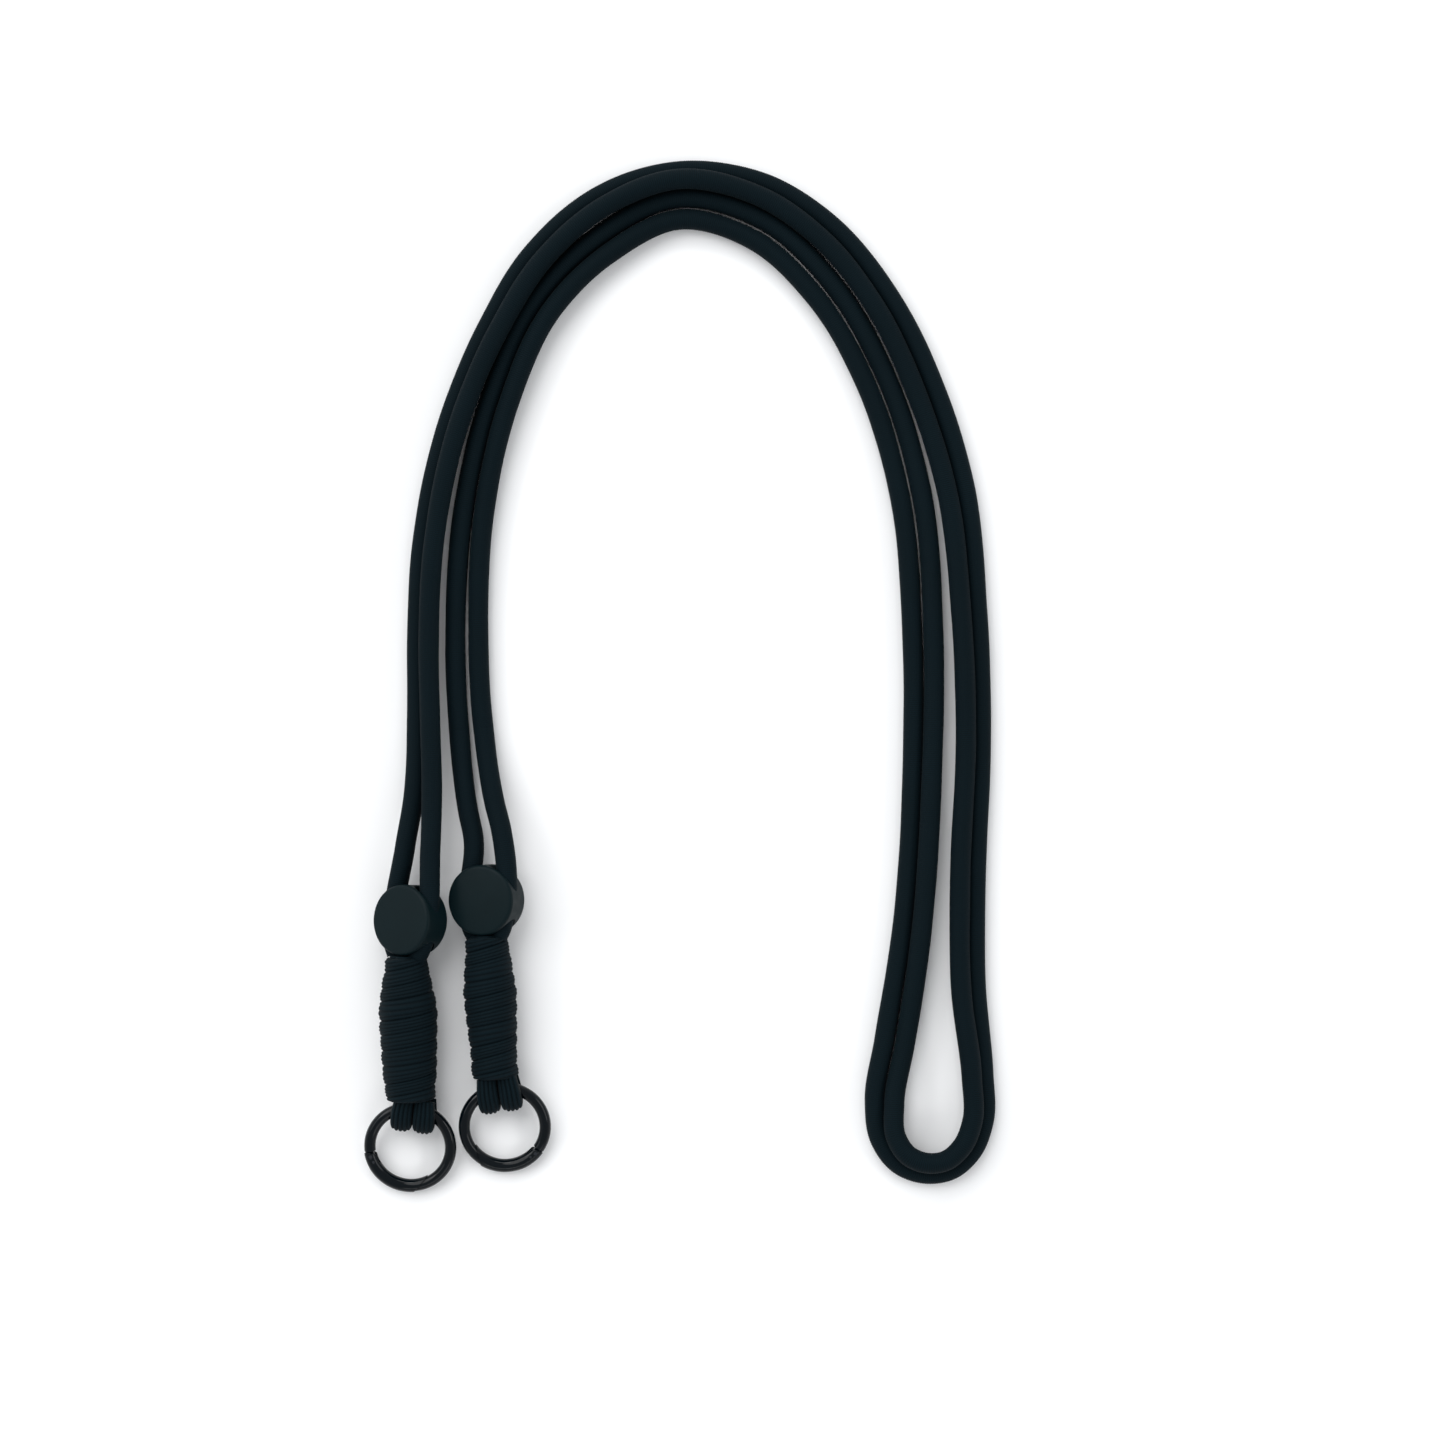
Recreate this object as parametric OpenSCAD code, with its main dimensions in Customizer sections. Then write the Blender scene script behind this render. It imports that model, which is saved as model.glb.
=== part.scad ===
// Eyeglass retainer strap: two parallel round cords, folded once and lying flat.
// Each end passes through a two-hole drum stopper, is bound by a whipping and
// turns over a spring-gate ring. Millimetres, +Z up, lying on the plane z = 0.

/* [Cord] */
// Outside diameter of the round knitted cord
cord_d = 5.5; // [5:0.1:6]
// Number of flat sides on a cord tube
cord_sides = 10; // [8:1:12]

/* [Drum stoppers] */
// Outside diameter of a drum
drum_d = 19; // [18:0.5:20]
// Thickness of a drum between its two faces
drum_t = 9.5; // [8.5:0.5:10]
// Radius of the rounded edge of a face
drum_edge_r = 0.9; // [0.5:0.1:1.2]
// Height by which a face is crowned at its centre
drum_crown = 0.3; // [0.1:0.1:0.5]
// Diameter of the two cord holes
drum_hole_d = 6.8; // [6.6:0.1:7]
// Distance between the centres of the two cord holes
drum_hole_gap = 9; // [8.8:0.1:9.4]

/* [Whippings] */
// Radius of the bound cord ends inside a whipping
core_r = 4.6; // [4:0.1:4.8]
// Depth of the crease between two turns
crease = 0.6; // [0.3:0.1:0.7]

/* [Bights] */
// Width of one flattened bight
bight_w = 5.9; // [5:0.1:6]
// Thickness of the flattened cord around the ring
bight_t = 2.8; // [2.4:0.1:2.8]
// Inside radius of the eye that the ring runs in
eye_r = 2.9; // [2.8:0.1:3]

/* [Spring-gate rings] */
// Outside diameter of a ring
ring_od = 25; // [24.8:0.1:25.4]
// Diameter of the ring's wire
wire_d = 3.1; // [2.9:0.1:3.2]
// Diameter of the gate
gate_d = 3.6; // [3.3:0.1:3.8]
// Diameter of the hinge pin
hinge_pin_d = 1; // [0.8:0.1:1.2]
// Diameter of the stop pin
stop_pin_d = 0.7; // [0.5:0.1:0.8]
// Thickness of the tongue that the gate hinges on
tongue_t = 1.4; // [1:0.1:1.5]

/* [Hidden] */

// Colours
cord_colour = [0.05, 0.06, 0.08];
drum_colour = [0.11, 0.15, 0.17];
ring_colour = [0.03, 0.04, 0.05];
steel_colour = [0.55, 0.56, 0.58];

// The route of the pair of cords, from the left stopper to the right one.
// Each point is [x, y, lift, gap, roll]: the middle of the pair, the height at
// which the lower cord clears the surface, the distance between the two cord
// centres, and the angle by which the inner cord rides above the outer one.
ROUTE = [
    [-13.4, 19.7, 4.4, 7.8, 33], [-13.1, 22, 4.2, 8.8, 33],
    [-10.3, 49, 4.2, 8.6, 33], [-9.1, 63, 2.6, 6.8, 40],
    [-9.1, 84, 0.5, 5.8, 48], [-9.3, 104, 0, 5.7, 52],
    [-7.8, 132, 0, 5.7, 52], [-1.8, 161, 0, 5.7, 54],
    [9.8, 189.5, 0, 5.7, 52], [22, 209, 0, 5.7, 48],
    [39, 223.6, 0, 5.7, 49], [60, 230.6, 0, 5.7, 60],
    [82.3, 226.7, 0, 5.7, 42], [100.8, 214.3, 0, 5.7, 31],
    [114.9, 196.5, 0, 5.7, 28], [126.8, 172, 0, 5.7, 20],
    [134.7, 146, 0, 5.7, 26], [138.4, 112, 0, 5.7, 36],
    [139.5, 80, 0, 5.7, 40], [138, 40, 0, 5.7, 38],
    [138.2, 10, 0, 5.7, 42], [140.6, -13, 0, 5.7, 52],
    [140.7, -25, 0, 5.7, 53], [137.6, -32.6, 0, 5.7, 53],
    [132.6, -36.9, 0, 5.7, 53], [126.5, -37.7, 0, 5.7, 53],
    [120.3, -35.2, 0, 5.7, 50], [116.4, -29.6, 0, 5.7, 42],
    [115.5, -20, 0, 5.7, 26], [118.2, -4, 0, 5.7, 12],
    [122.7, 25, 0, 5.7, 26], [125.7, 70, 0, 5.7, 26],
    [125.9, 105, 0, 5.8, 16], [122.5, 145, 0, 5.9, 5],
    [113, 176, 0, 5.8, 0], [98.7, 200.4, 0, 5.9, 0],
    [81.7, 216, 0, 6, 0], [60, 221.9, 0, 5.8, 0],
    [38.6, 211.4, 0, 5.7, -10], [23.2, 195.6, 0, 5.7, -20],
    [11.4, 170, 0, 5.7, -20], [4.6, 141.8, 0, 5.7, -8],
    [2.4, 108, 0, 6.2, 0], [3.6, 81, 0, 6.6, 0],
    [6.6, 60, 2.7, 7.8, -14], [8.3, 53, 3.7, 8.5, -21],
    [8.1, 27.4, 3.7, 8.8, -21], [8.1, 25, 3.8, 7.8, -21]
];

cord_r = cord_d / 2;
drum_r = drum_d / 2;
wire_r = wire_d / 2;
gate_r = gate_d / 2;
ring_r = ring_od / 2 - wire_r;      // radius of the ring's centreline
fit = 0.05;                         // running clearance on each side

// Placing of the drums: centre, lean in plan, roll about the cords
LEFT_DRUM = [-12.3, 29.6, 9.3];
LEFT_DRUM_LEAN = 6;
LEFT_DRUM_ROLL = 33;
RIGHT_DRUM = [8.1, 35, 8];
RIGHT_DRUM_LEAN = 0;
RIGHT_DRUM_ROLL = 21;

// Whippings: the middle of the bottom end, the middle of the top end, and the
// radius of each turn from the bottom up
LEFT_BOTTOM = [-12.4, -19, 7.2];
LEFT_TOP = [-13.4, 19.6, 9.3];
LEFT_TURNS = [6.8, 7.2, 7.6, 7.7, 7.9, 8, 7.6, 6.8, 5.8];
RIGHT_BOTTOM = [10.4, -13, 7.1];
RIGHT_TOP = [8.1, 24.9, 8];
RIGHT_TURNS = [6.4, 6.4, 6.6, 6.9, 7.2, 7.4, 6.9, 6.4, 5.8];

// Eyes of the bights: the middle of the eye and its turn in plan
LEFT_EYE = [-11.6, -22.3, 5.9];
LEFT_EYE_TURN = -7;
RIGHT_EYE = [11.4, -16.9, 5.9];
RIGHT_EYE_TURN = 8;
left_leg = 3.6;                     // from the eye's axis into the whipping
right_leg = 4.2;
eye_to_ring = ring_r - 1;           // from the eye's axis to the ring's centre
ring_tilt = 10.8;                   // the far side of a ring drops to the surface

// Stations around a ring, in degrees from its right side
hinge_line = 318;                   // end of the wire beside the gate
hinge_at = 311;                     // hinge pin
stop_at = 302.5;                    // stop pin
slot_end = 296;                     // blind end of the gate's slot
heel_relief = 26;                   // slope of the gate's heel, over the angle it opens
scarf_outer = 230;                  // outer end of the slanted joint
scarf_inner = 207;                  // inner end of the slanted joint, the nose
left_ring_turn = -29;               // turns the left ring's hinge to its left side

// ---------------------------------------------------------------- helpers

function flat(p) = [p[0], p[1]];
function unit(v) = v / norm(v);
function route_dir(i) =
    i == 0 ? unit(flat(ROUTE[1]) - flat(ROUTE[0]))
    : i == len(ROUTE) - 1 ? unit(flat(ROUTE[i]) - flat(ROUTE[i - 1]))
    : unit(unit(flat(ROUTE[i]) - flat(ROUTE[i - 1])) + unit(flat(ROUTE[i + 1]) - flat(ROUTE[i])));

// Centre of one cord at station i: side is 1 for the outer cord, -1 for the inner
function cord_point(i, side) =
    let (p = ROUTE[i], d = route_dir(i), half = p[3] / 2)
    let (across = side * half * cos(p[4]), rise = -side * half * sin(p[4]))
    [p[0] - d[1] * across, p[1] + d[0] * across,
     cord_r + half * abs(sin(p[4])) + p[2] + rise];

function cord_points(side) = [for (i = [0:len(ROUTE) - 1]) cord_point(i, side)];

// One ring of a tube around a route
function tube_ring(pts, i) =
    let (last = len(pts) - 1)
    let (ahead = unit(i == 0 ? pts[1] - pts[0]
                    : i == last ? pts[last] - pts[last - 1]
                    : unit(pts[i] - pts[i - 1]) + unit(pts[i + 1] - pts[i])))
    let (side = unit(cross(ahead, [0, 0, 1])), up = cross(side, ahead))
    [for (k = [0:cord_sides - 1])
        let (a = 360 * k / cord_sides)
        pts[i] + cord_r * (cos(a) * side + sin(a) * up)];

module cord_tube(side) {
    pts = cord_points(side);
    rings = len(pts);
    faces = concat(
        [[for (k = [cord_sides - 1:-1:0]) k]],
        [for (i = [0:rings - 2], k = [0:cord_sides - 1])
            let (n = (k + 1) % cord_sides)
            [i * cord_sides + k, i * cord_sides + n,
             (i + 1) * cord_sides + n, (i + 1) * cord_sides + k]],
        [[for (k = [0:cord_sides - 1]) (rings - 1) * cord_sides + k]]);
    polyhedron([for (i = [0:rings - 1]) each tube_ring(pts, i)], faces);
}

// Outline of a bar with round ends, w wide and t thick
function stadium(w, t) = concat(
    [for (a = [-90:15:90]) [(w - t) / 2 + t / 2 * cos(a), t / 2 * sin(a)]],
    [for (a = [90:15:270]) [-(w - t) / 2 + t / 2 * cos(a), t / 2 * sin(a)]]);

module at_drum(centre, lean, roll) {
    translate(centre) rotate([0, -roll, -lean]) children();
}

// Local +Z runs from bottom to top
module along(bottom, top) {
    d = top - bottom;
    translate(bottom)
        rotate([0, acos(d[2] / norm(d)), atan2(d[1], d[0])])
            children();
}

module at_eye(eye, turn) {
    translate(eye) rotate([0, 0, turn]) children();
}

// The ring's plane, with its centre below the eye
module at_ring(eye, turn) {
    at_eye(eye, turn) rotate([ring_tilt, 0, 0]) translate([0, -eye_to_ring, 0]) children();
}

module at_left_ring() {
    at_ring(LEFT_EYE, LEFT_EYE_TURN) rotate([0, 0, left_ring_turn]) mirror([1, 0, 0]) children();
}

module at_right_ring() {
    at_ring(RIGHT_EYE, RIGHT_EYE_TURN) children();
}

// A point of the ring's plane, by distance from the centre and angle
function polar(r, a) = [r * cos(a), r * sin(a), 0];

// ---------------------------------------------------------------- drum stopper

drum_points = 8;
function drum_half() = concat(
    [for (i = [0:drum_points])
        let (r = (drum_r - drum_edge_r) * i / drum_points)
        [r, drum_t / 2 - drum_crown * pow(r / (drum_r - drum_edge_r), 2)]],
    [for (a = [75:-15:0])
        [drum_r - drum_edge_r + drum_edge_r * cos(a),
         drum_t / 2 - drum_crown - drum_edge_r + drum_edge_r * sin(a)]]);

module drum() {
    half = drum_half();
    below = [for (i = [len(half) - 1:-1:0]) [half[i][0], -half[i][1]]];
    difference() {
        rotate_extrude($fn = 96) polygon(concat(half, below));
        for (s = [-1, 1])
            translate([s * drum_hole_gap / 2, 0, 0])
                rotate([90, 0, 0])
                    cylinder(d = drum_hole_d, h = drum_d + 2, center = true, $fn = 48);
    }
}

// ---------------------------------------------------------------- whipping

function turn_outline(radii, pitch) = [
    for (i = [0:len(radii) - 1], k = [0:5])
        if (k < 5 || i == len(radii) - 1)
            [radii[i] - crease * (1 - sin(36 * k)), (i + k / 5) * pitch]];

module whipping(bottom, top, radii) {
    length = norm(top - bottom);
    outline = turn_outline(radii, length / len(radii));
    along(bottom, top)
        rotate_extrude($fn = 72)
            polygon(concat([[core_r, 0]], outline, [[core_r, length]]));
}

module bound_ends(bottom, top) {
    along(bottom, top) cylinder(r = core_r, h = norm(top - bottom), $fn = 72);
}

// ---------------------------------------------------------------- bights

// side is 1 for the bight on the eye's right, -1 for the other. Its legs are
// long enough to end just inside the whipping.
module bight(side, leg_length) {
    offset_x = side * (bight_w / 2 + fit);
    middle_r = eye_r + bight_t / 2;
    translate([offset_x, 0, 0]) {
        rotate([0, 90, 0]) rotate([0, 0, 180])
            rotate_extrude(angle = 180, start = 180, $fn = 48)
                translate([middle_r, 0]) rotate(90) polygon(stadium(bight_w, bight_t));
        for (up = [-1, 1])
            translate([0, 0, up * middle_r])
                rotate([-90, 0, 0])
                    linear_extrude(leg_length) polygon(stadium(bight_w, bight_t));
    }
}

// ---------------------------------------------------------------- spring-gate ring

hinge = polar(ring_r, hinge_at);
stop = polar(ring_r - 0.3, stop_at);
finger_r = ring_r + 0.2;            // inner edge of the tongue's finger
slot_t = tongue_t + 2 * fit;

module arc_bar(r, from, to) {
    rotate([0, 0, from])
        rotate_extrude(angle = to - from, $fn = 96) translate([ring_r, 0]) circle(r, $fn = 36);
}

// A block that reaches across from the slanted joint on the gate's side, with
// its face moved by gap
module gate_side(gap, reach) {
    outer = polar(ring_od / 2, scarf_outer);
    inner = polar(ring_od / 2 - wire_d, scarf_inner);
    slope = atan2(inner[1] - outer[1], inner[0] - outer[0]);
    translate(outer) rotate([0, 0, slope]) translate([-ring_r, -reach - gap, -wire_d])
        cube([2 * ring_r, reach, 2 * wire_d]);
}

module ring_wire() {
    difference() {
        arc_bar(wire_r, hinge_line - 360, 236);
        gate_side(-fit, ring_r / 2);
    }
}

module tongue() {
    difference() {
        linear_extrude(tongue_t, center = true)
            union() {
                translate(flat(hinge)) circle(1.15, $fn = 36);
                intersection() {
                    difference() {
                        circle(ring_r + 1.1, $fn = 96);
                        circle(ring_r - 0.9, $fn = 96);
                    }
                    polygon([[0, 0], 20 * flat(polar(1, hinge_at)),
                             20 * flat(polar(1, hinge_line + 3))]);
                }
                intersection() {
                    difference() {
                        circle(ring_r + 1.1, $fn = 96);
                        circle(finger_r, $fn = 96);
                    }
                    polygon([[0, 0], 20 * flat(polar(1, stop_at - 1.5)),
                             20 * flat(polar(1, hinge_at + 1))]);
                }
            }
        translate(hinge) cylinder(d = hinge_pin_d + 2 * fit, h = wire_d, center = true, $fn = 36);
    }
}

module ring_body() {
    union() {
        ring_wire();
        tongue();
    }
}

module ring_gate() {
    difference() {
        intersection() {
            arc_bar(gate_r, 200, hinge_line - 1);
            gate_side(0, ring_od);
        }
        // slot for the tongue
        intersection() {
            translate([0, 0, -slot_t / 2]) cylinder(r = ring_od, h = slot_t, $fn = 96);
            linear_extrude(2 * slot_t, center = true)
                polygon([[0, 0], 2 * ring_od * flat(polar(1, slot_end)),
                         2 * ring_od * flat(polar(1, hinge_line + 5))]);
        }
        translate(hinge) cylinder(d = hinge_pin_d, h = 2 * gate_d, center = true, $fn = 36);
        translate(stop) cylinder(d = stop_pin_d, h = 2 * gate_d, center = true, $fn = 36);
        at_spring() cylinder(d = spring_bore_d, h = 2 * spring_length, $fn = 24);
        // relief that lets the gate's heel turn past the end of the wire
        translate(polar(ring_r, hinge_line - 1))
            rotate([0, 0, hinge_line - 1 + heel_relief])
                translate([-gate_d, 0, -gate_d])
                    cube([gate_d, gate_d, 2 * gate_d]);
    }
}

module pin(d) {
    cylinder(d = d, h = gate_d - 0.3, center = true, $fn = 36);
}

spring_length = 3.4;
spring_bore_d = 1.3;
spring_d = 0.9;                     // across the middles of the coils
spring_wire_d = 0.24;
spring_turns = 7;

// From the blind end of the slot along the gate, inside its centreline
module at_spring() {
    translate(polar(ring_r - 0.25, slot_end)) rotate([0, 0, slot_end - 101]) rotate([0, 90, 0])
        children();
}

module gate_spring() {
    at_spring()
        linear_extrude(spring_length, twist = -360 * spring_turns, slices = 12 * spring_turns)
            translate([spring_d / 2, 0]) circle(d = spring_wire_d, $fn = 8);
}

// ---------------------------------------------------------------- nodes

module outer_cord() { color(cord_colour) cord_tube(1); }
module inner_cord() { color(cord_colour) cord_tube(-1); }

module left_toggle() {
    color(drum_colour) at_drum(LEFT_DRUM, LEFT_DRUM_LEAN, LEFT_DRUM_ROLL) drum();
}
module right_toggle() {
    color(drum_colour) at_drum(RIGHT_DRUM, RIGHT_DRUM_LEAN, RIGHT_DRUM_ROLL) drum();
}

module left_whipping() { color(cord_colour) whipping(LEFT_BOTTOM, LEFT_TOP, LEFT_TURNS); }
module right_whipping() { color(cord_colour) whipping(RIGHT_BOTTOM, RIGHT_TOP, RIGHT_TURNS); }
module left_bound_ends() { color(cord_colour) bound_ends(LEFT_BOTTOM, LEFT_TOP); }
module right_bound_ends() { color(cord_colour) bound_ends(RIGHT_BOTTOM, RIGHT_TOP); }

module left_outer_bight() { color(cord_colour) at_eye(LEFT_EYE, LEFT_EYE_TURN) bight(-1, left_leg); }
module left_inner_bight() { color(cord_colour) at_eye(LEFT_EYE, LEFT_EYE_TURN) bight(1, left_leg); }
module right_outer_bight() { color(cord_colour) at_eye(RIGHT_EYE, RIGHT_EYE_TURN) bight(1, right_leg); }
module right_inner_bight() { color(cord_colour) at_eye(RIGHT_EYE, RIGHT_EYE_TURN) bight(-1, right_leg); }

module left_ring_body() { color(ring_colour) at_left_ring() ring_body(); }
module left_ring_gate() { color(ring_colour) at_left_ring() ring_gate(); }
module left_hinge_pin() { color(steel_colour) at_left_ring() translate(hinge) pin(hinge_pin_d); }
module left_stop_pin() { color(steel_colour) at_left_ring() translate(stop) pin(stop_pin_d); }
module left_gate_spring() { color(steel_colour) at_left_ring() gate_spring(); }

module right_ring_body() { color(ring_colour) at_right_ring() ring_body(); }
module right_ring_gate() { color(ring_colour) at_right_ring() ring_gate(); }
module right_hinge_pin() { color(steel_colour) at_right_ring() translate(hinge) pin(hinge_pin_d); }
module right_stop_pin() { color(steel_colour) at_right_ring() translate(stop) pin(stop_pin_d); }
module right_gate_spring() { color(steel_colour) at_right_ring() gate_spring(); }

outer_cord();
inner_cord();
left_toggle();
right_toggle();
left_whipping();
right_whipping();
left_bound_ends();
right_bound_ends();
left_outer_bight();
left_inner_bight();
right_outer_bight();
right_inner_bight();
left_ring_body();
left_ring_gate();
left_hinge_pin();
left_stop_pin();
left_gate_spring();
right_ring_body();
right_ring_gate();
right_hinge_pin();
right_stop_pin();
right_gate_spring();
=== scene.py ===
"""Eyeglass retainer strap: two round knitted cords with drum stoppers, whipped
ends and spring-gate rings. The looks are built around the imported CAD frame."""

import math

import bmesh
import bpy
import numpy as np
from bpy.props import FloatProperty, FloatVectorProperty, IntProperty, PointerProperty
from mathutils import Matrix, Vector


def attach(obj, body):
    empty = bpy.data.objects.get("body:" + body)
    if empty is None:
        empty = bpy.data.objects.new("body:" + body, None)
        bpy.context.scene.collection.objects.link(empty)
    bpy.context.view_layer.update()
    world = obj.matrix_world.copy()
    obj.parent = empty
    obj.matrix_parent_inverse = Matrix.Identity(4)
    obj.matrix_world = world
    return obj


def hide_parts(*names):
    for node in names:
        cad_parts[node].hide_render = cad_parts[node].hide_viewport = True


bl_info = {
    "name": "Eyeglass retainer strap",
    "version": (1, 0, 0),
    "blender": (4, 5, 0),
    "location": "View3D > Sidebar > Strap",
    "description": "Builds a doubled round-cord eyeglass strap around its CAD frame",
    "category": "Add Mesh",
}

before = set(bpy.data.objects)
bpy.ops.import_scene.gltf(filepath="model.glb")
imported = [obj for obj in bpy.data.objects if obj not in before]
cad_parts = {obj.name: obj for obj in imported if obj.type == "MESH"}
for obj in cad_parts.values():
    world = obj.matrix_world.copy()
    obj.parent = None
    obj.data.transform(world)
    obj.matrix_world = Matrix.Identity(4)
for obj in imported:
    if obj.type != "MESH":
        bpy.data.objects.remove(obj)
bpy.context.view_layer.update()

MM = 0.001
FULL_TURN = 2 * math.pi

# The pair of cords from the left stopper to the right one, in metres: x, y, how
# far the lower cord clears the surface, the distance between the cord centres,
# and the angle in degrees by which the inner cord rides above the outer one.
ROUTE = [
    (-0.0134, 0.0197, 0.0044, 0.0069, 33), (-0.0131, 0.0222, 0.0042, 0.0088, 33),
    (-0.0103, 0.0490, 0.0042, 0.0086, 33), (-0.0091, 0.0630, 0.0026, 0.0068, 40),
    (-0.0091, 0.0840, 0.0005, 0.0058, 48), (-0.0093, 0.1040, 0, 0.0057, 52),
    (-0.0078, 0.1320, 0, 0.0057, 52), (-0.0018, 0.1610, 0, 0.0057, 54),
    (0.0098, 0.1895, 0, 0.0057, 52), (0.0220, 0.2090, 0, 0.0057, 48),
    (0.0390, 0.2236, 0, 0.0057, 49), (0.0600, 0.2306, 0, 0.0057, 60),
    (0.0823, 0.2267, 0, 0.0057, 42), (0.1008, 0.2143, 0, 0.0057, 31),
    (0.1149, 0.1965, 0, 0.0057, 28), (0.1268, 0.1720, 0, 0.0057, 20),
    (0.1347, 0.1460, 0, 0.0057, 26), (0.1384, 0.1120, 0, 0.0057, 36),
    (0.1395, 0.0800, 0, 0.0057, 40), (0.1380, 0.0400, 0, 0.0057, 38),
    (0.1382, 0.0100, 0, 0.0057, 42), (0.1406, -0.0130, 0, 0.0057, 52),
    (0.1407, -0.0250, 0, 0.0057, 53), (0.1376, -0.0326, 0, 0.0057, 53),
    (0.1326, -0.0369, 0, 0.0057, 53), (0.1265, -0.0377, 0, 0.0057, 53),
    (0.1203, -0.0352, 0, 0.0057, 50), (0.1164, -0.0296, 0, 0.0057, 42),
    (0.1155, -0.0200, 0, 0.0057, 26), (0.1182, -0.0040, 0, 0.0057, 12),
    (0.1227, 0.0250, 0, 0.0057, 26), (0.1257, 0.0700, 0, 0.0057, 26),
    (0.1259, 0.1050, 0, 0.0058, 16), (0.1225, 0.1450, 0, 0.0059, 5),
    (0.1130, 0.1760, 0, 0.0058, 0), (0.0987, 0.2004, 0, 0.0059, 0),
    (0.0817, 0.2160, 0, 0.0060, 0), (0.0600, 0.2219, 0, 0.0058, 0),
    (0.0386, 0.2114, 0, 0.0057, -10), (0.0232, 0.1956, 0, 0.0057, -20),
    (0.0114, 0.1700, 0, 0.0057, -20), (0.0046, 0.1418, 0, 0.0057, -8),
    (0.0024, 0.1080, 0, 0.0062, 0), (0.0036, 0.0810, 0, 0.0066, 0),
    (0.0066, 0.0600, 0.0027, 0.0078, -14), (0.0083, 0.0530, 0.0037, 0.0085, -21),
    (0.0081, 0.0276, 0.0037, 0.0088, -21), (0.0081, 0.0250, 0.0038, 0.0069, -21),
]


# ------------------------------------------------------------------ settings

class StrapCordSettings(bpy.types.PropertyGroup):
    diameter: FloatProperty(
        name="Cord diameter", description="Outside diameter of the round cord",
        default=5.5 * MM, unit="LENGTH")
    course: FloatProperty(
        name="Knit course", description="Distance from one knitted course to the next",
        default=0.55 * MM, unit="LENGTH")
    relief: FloatProperty(
        name="Knit relief",
        description="Height of a knitted course above the groove beside it",
        default=0.09 * MM, unit="LENGTH")
    sides: IntProperty(
        name="Wales", description="Columns of stitches around the cord", default=24)
    colour: FloatVectorProperty(
        name="Cord colour", description="Dyed polyester yarn", subtype="COLOR", size=3,
        default=(0.0003, 0.0030, 0.0046))
    # Colour of the course crowns; the plain cord colour in the grooves between them is
    # painted shade.
    lit_crown_colour: FloatVectorProperty(
        name="Raised yarn colour", description="Yarn on the crowns of the courses",
        subtype="COLOR", size=3, default=(0.0020, 0.0096, 0.0142))


class StrapDrumSettings(bpy.types.PropertyGroup):
    diameter: FloatProperty(
        name="Drum diameter", description="Outside diameter of a drum stopper",
        default=19 * MM, unit="LENGTH")
    thickness: FloatProperty(
        name="Drum thickness", description="Distance between a drum's two faces",
        default=9.5 * MM, unit="LENGTH")
    edge: FloatProperty(
        name="Edge radius", description="Rounding where a face meets the wall",
        default=0.9 * MM, unit="LENGTH")
    crown: FloatProperty(
        name="Face crown", description="Height of a face's centre above its edge",
        default=0.3 * MM, unit="LENGTH")
    hole: FloatProperty(
        name="Hole diameter", description="Diameter of each cord hole",
        default=6.8 * MM, unit="LENGTH")
    hole_gap: FloatProperty(
        name="Hole spacing", description="Distance between the two hole centres",
        default=9 * MM, unit="LENGTH")
    colour: FloatVectorProperty(
        name="Drum colour", description="Moulded plastic", subtype="COLOR", size=3,
        default=(0.0008, 0.0056, 0.0072))


class StrapWhippingSettings(bpy.types.PropertyGroup):
    ribs: IntProperty(
        name="Ribs", description="Lengthwise ribs on the cord that is wound", default=4)
    rib_relief: FloatProperty(
        name="Rib relief", description="Height of a rib above the groove beside it",
        default=0.30 * MM, unit="LENGTH")
    crease: FloatProperty(
        name="Crease", description="Depth of the crease between two turns",
        default=0.70 * MM, unit="LENGTH")
    colour: FloatVectorProperty(
        name="Whipping colour", description="Dyed cord", subtype="COLOR", size=3,
        default=(0.0003, 0.0030, 0.0046))
    # Colour of the rib crowns; the plain whipping colour in the grooves between the ribs is
    # painted shade.
    lit_crown_colour: FloatVectorProperty(
        name="Raised rib colour", description="Yarn on the crowns of the ribs",
        subtype="COLOR", size=3, default=(0.0020, 0.0094, 0.0138))


class StrapRingSettings(bpy.types.PropertyGroup):
    colour: FloatVectorProperty(
        name="Enamel colour", description="Black enamel over zinc", subtype="COLOR", size=3,
        default=(0.0003, 0.0016, 0.0027))


class StrapStageSettings(bpy.types.PropertyGroup):
    camera_height: FloatProperty(
        name="Camera height", description="Height of the lens above the surface",
        default=0.9, unit="LENGTH")
    view_width: FloatProperty(
        name="View width", description="Width of the surface that the camera sees",
        default=0.3914, unit="LENGTH")
    horizon: FloatProperty(
        name="Horizon light", description="Strength of the surroundings at eye level",
        default=0.95, min=0.0)
    zenith: FloatProperty(
        name="Overhead light", description="Strength of the surroundings straight overhead",
        default=0.55, min=0.0)
    sun: FloatProperty(
        name="Overall light",
        description="Strength of the broad light over the whole floor",
        default=1.8, min=0.0)
    floor_colour: FloatVectorProperty(
        name="Floor colour", description="Pale matte table", subtype="COLOR", size=3,
        default=(0.90, 0.905, 0.91))


# ------------------------------------------------------------------ mesh helpers

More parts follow.
